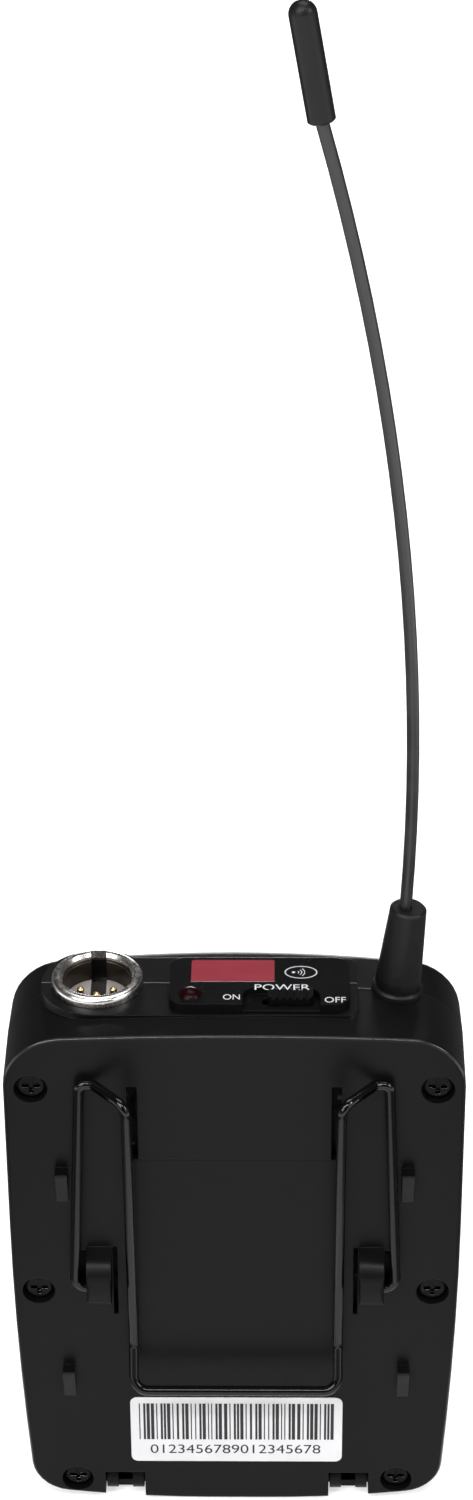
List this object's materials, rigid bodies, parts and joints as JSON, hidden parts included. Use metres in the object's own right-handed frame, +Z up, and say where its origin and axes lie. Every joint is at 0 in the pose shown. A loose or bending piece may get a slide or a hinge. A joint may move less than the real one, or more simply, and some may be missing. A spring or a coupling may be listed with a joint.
{
  "type": "wireless bodypack transmitter",
  "caption": "Small belt-worn radio microphone transmitter with a wire belt clip, round contact socket, sliding power switch, hinged battery door and bent whip antenna.",
  "frame": {"origin": "middle of the flat on the underside of the battery door's foot, half way through the depth of the case", "axes": "+Z up along the antenna, +X to the right seen from the belt-clip side, +Y away from the belt clip towards the battery door"},
  "size_m": [0.062, 0.0275, 0.2182],
  "materials": {
    "case_rear": "satin moulded black plastic",
    "case_front": "satin moulded black plastic",
    "battery_door": "satin moulded black plastic",
    "case_screws": "black plated steel",
    "rear_label": "printed silver-grey foil label",
    "clip_wire": "glossy black coated spring wire",
    "clip_loop_wire": "glossy black coated spring wire",
    "control_plate": "satin black plastic",
    "display_window": "glossy dark red lens",
    "display_module": "grey display module",
    "status_led": "dark red lamp dome",
    "switch_knob": "ribbed black plastic",
    "switch_body": "grey switch body",
    "top_board": "green circuit board",
    "socket_shell": "nickel-plated turned metal",
    "socket_insert": "grey insulator",
    "socket_pins": "gold-plated contacts",
    "socket_nut": "plated hexagon nut",
    "antenna_boot": "black rubber boot",
    "antenna_whip": "black coated steel cable",
    "antenna_tip": "black moulded cap",
    "antenna_terminal": "brass stud and strap",
    "main_board": "green circuit board",
    "board_screws": "small steel screws",
    "board_chips": "black moulded chips",
    "rf_shield": "tinned screening can",
    "battery_tray": "moulded black plastic",
    "battery_contacts": "nickel-plated strip",
    "battery_springs": "nickel-plated spring wire",
    "battery_cells": "foil-wrapped cells, plain"
  },
  "bodies": {
    "case": {"rear_shell": "case_rear", "front_shell": "case_front", "case_screws": "case_screws", "rear_label": "rear_label", "belt_clip_arms": "clip_wire", "control_plate": "control_plate", "display_window": "display_window", "display_module": "display_module", "status_led": "status_led", "switch_body": "switch_body", "top_board": "top_board", "socket_shell": "socket_shell", "socket_insert": "socket_insert", "socket_pins": "socket_pins", "socket_nut": "socket_nut", "antenna_boot": "antenna_boot", "antenna_whip": "antenna_whip", "antenna_tip": "antenna_tip", "antenna_terminal": "antenna_terminal", "main_board": "main_board", "board_screws": "board_screws", "board_chips": "board_chips", "rf_shield": "rf_shield", "battery_tray": "battery_tray", "battery_contacts": "battery_contacts", "battery_springs": "battery_springs", "battery_cells": "battery_cells"},
    "battery_door": {"battery_door": "battery_door"},
    "switch_knob": {"switch_knob": "switch_knob"},
    "belt_clip_loop": {"belt_clip_loop": "clip_loop_wire"}
  },
  "joints": [
    {"name": "battery_door_hinge", "type": "hinge", "parent": "case", "child": "battery_door", "pos_m": [0, -0.0083, 0.003], "axis": [-1, 0, 0], "range_deg": [0, 100]},
    {"name": "power_switch", "type": "slide", "parent": "case", "child": "switch_knob", "axis": [-1, 0, 0], "range_m": [0, 0.0025]},
    {"name": "belt_clip_flex", "type": "hinge", "parent": "case", "child": "belt_clip_loop", "pos_m": [0, -0.0115, 0.0749], "axis": [-1, 0, 0], "range_deg": [0, 12], "stiffness_Nm_per_rad": 0.05, "springref_deg": -5.73}
  ]
}
